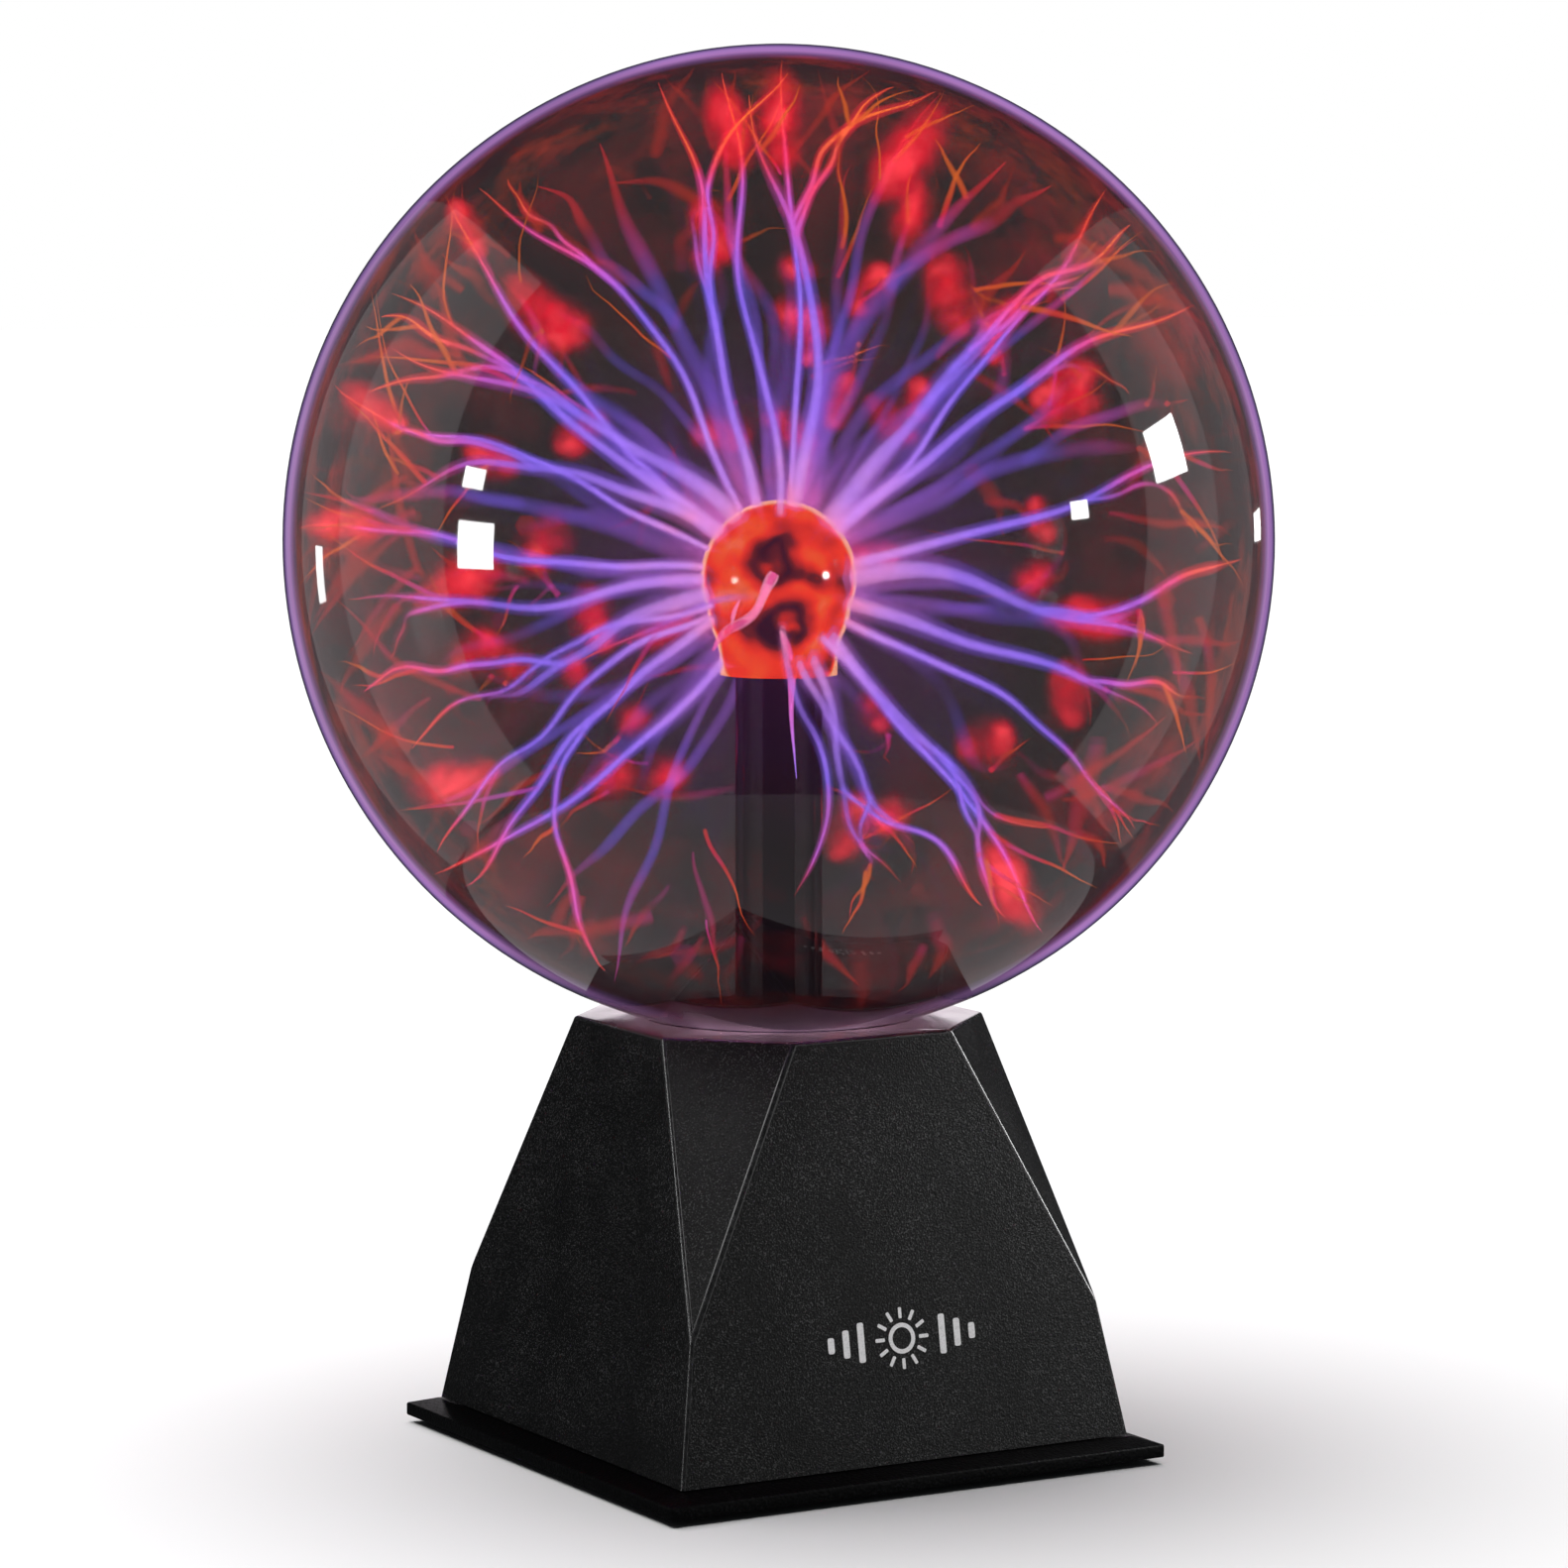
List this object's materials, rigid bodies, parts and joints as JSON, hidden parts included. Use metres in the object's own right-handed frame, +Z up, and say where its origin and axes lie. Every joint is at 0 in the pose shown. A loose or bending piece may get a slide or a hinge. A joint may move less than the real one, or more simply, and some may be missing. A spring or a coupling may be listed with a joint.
{
  "type": "plasma ball",
  "caption": "Plasma ball: a gas-filled glass globe with a glowing electrode on a faceted black housing, with a rear rocker switch and power inlet.",
  "frame": {"origin": "on the surface that the feet stand on, straight below the centre of the globe", "axes": "+Z up through the globe, -Y out of the front of the housing, +Y out of the back with the switch and the inlet"},
  "size_m": [0.203, 0.203, 0.2894],
  "materials": {
    "globe_glass": "clear, lit violet from inside",
    "electrode_glass": "coated inside, glowing orange-red",
    "black_plastic": "fine moulded grain",
    "gloss_black_plastic": "polished",
    "rubber": "matt",
    "silicone": "matt",
    "red_insulation": "satin",
    "circuit_board": "solder mask over glass laminate",
    "ferrite": "ground, dull grey",
    "copper_wire": "enamelled",
    "aluminium": "extruded",
    "steel": "zinc plated",
    "brass": "bright",
    "capacitor_sleeve": "shrunk sleeve"
  },
  "bodies": {
    "stand": {"audio_chip": "gloss_black_plastic", "base_plate": "black_plastic", "base_screw_1": "steel", "base_screw_2": "steel", "base_screw_3": "steel", "base_screw_4": "steel", "board_screw_1": "steel", "board_screw_2": "steel", "board_screw_3": "steel", "board_screw_4": "steel", "collar_screw_1": "steel", "collar_screw_2": "steel", "collar_screw_3": "steel", "collar_screw_4": "steel", "dc_jack": "gloss_black_plastic", "dc_jack_nut": "steel", "dc_jack_pin": "brass", "driver_board": "circuit_board", "electrode_bulb": "electrode_glass", "exhaust_tip": "globe_glass", "ferrite_core": "ferrite", "film_capacitor": "capacitor_sleeve", "filter_capacitor_1": "capacitor_sleeve", "filter_capacitor_2": "capacitor_sleeve", "glass_globe": "globe_glass", "globe_collar": "black_plastic", "globe_gasket": "silicone", "heatsink": "aluminium", "housing": "black_plastic", "hv_coil": "gloss_black_plastic", "hv_lead": "silicone", "jack_lead_negative": "silicone", "jack_lead_positive": "red_insulation", "microphone": "aluminium", "microphone_lead": "silicone", "power_transistor": "gloss_black_plastic", "primary_winding": "copper_wire", "rubber_foot_1": "rubber", "rubber_foot_2": "rubber", "rubber_foot_3": "rubber", "rubber_foot_4": "rubber", "steel_wool_core": "steel", "stem_tube": "globe_glass", "switch_body": "black_plastic", "switch_lead_1": "red_insulation", "switch_lead_2": "silicone", "switch_terminal_1": "brass", "switch_terminal_2": "brass", "switch_terminal_3": "brass", "timer_chip": "gloss_black_plastic", "transistor_screw": "steel"},
    "rocker_body": {"rocker": "gloss_black_plastic"}
  },
  "joints": [
    {"name": "rocker_tilt", "type": "hinge", "parent": "stand", "child": "rocker_body", "pos_m": [-0.017, 0.04852, 0.02685], "axis": [-1, 0, 0], "range_deg": [0, 24]}
  ]
}
